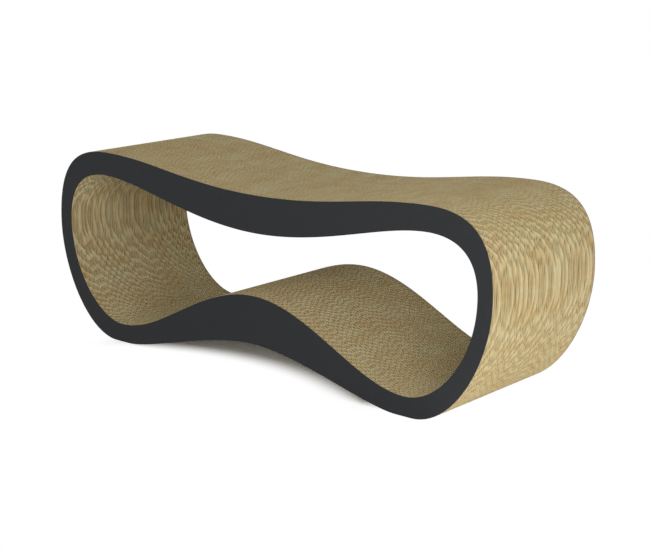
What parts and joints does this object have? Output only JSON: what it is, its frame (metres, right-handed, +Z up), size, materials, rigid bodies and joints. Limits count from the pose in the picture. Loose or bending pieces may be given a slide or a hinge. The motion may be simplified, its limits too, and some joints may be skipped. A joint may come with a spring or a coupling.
{
  "type": "cardboard cat scratcher lounge",
  "caption": "Closed peanut-shaped loop of glued corrugated cardboard rings with dark cover sheets, for a cat to scratch, lie on or lie inside.",
  "frame": {"origin": "on the floor, under the middle of the loop", "axes": "+X along the length, +Y from the front cover to the rear cover, +Z up"},
  "size_m": [0.755, 0.24, 0.273],
  "materials": {
    "kraft_board": "raw kraft paper, cut edges",
    "cover_board": "matt dark print"
  },
  "bodies": {
    "root": {"front_cover": "cover_board", "corrugated_board_01": "kraft_board", "corrugated_board_02": "kraft_board", "corrugated_board_03": "kraft_board", "corrugated_board_04": "kraft_board", "corrugated_board_05": "kraft_board", "corrugated_board_06": "kraft_board", "corrugated_board_07": "kraft_board", "corrugated_board_08": "kraft_board", "corrugated_board_09": "kraft_board", "corrugated_board_10": "kraft_board", "corrugated_board_11": "kraft_board", "corrugated_board_12": "kraft_board", "corrugated_board_13": "kraft_board", "corrugated_board_14": "kraft_board", "corrugated_board_15": "kraft_board", "corrugated_board_16": "kraft_board", "corrugated_board_17": "kraft_board", "corrugated_board_18": "kraft_board", "corrugated_board_19": "kraft_board", "corrugated_board_20": "kraft_board", "corrugated_board_21": "kraft_board", "corrugated_board_22": "kraft_board", "corrugated_board_23": "kraft_board", "corrugated_board_24": "kraft_board", "corrugated_board_25": "kraft_board", "corrugated_board_26": "kraft_board", "corrugated_board_27": "kraft_board", "corrugated_board_28": "kraft_board", "corrugated_board_29": "kraft_board", "corrugated_board_30": "kraft_board", "corrugated_board_31": "kraft_board", "corrugated_board_32": "kraft_board", "corrugated_board_33": "kraft_board", "corrugated_board_34": "kraft_board", "corrugated_board_35": "kraft_board", "corrugated_board_36": "kraft_board", "corrugated_board_37": "kraft_board", "corrugated_board_38": "kraft_board", "corrugated_board_39": "kraft_board", "corrugated_board_40": "kraft_board", "rear_cover": "cover_board"}
  },
  "joints": []
}
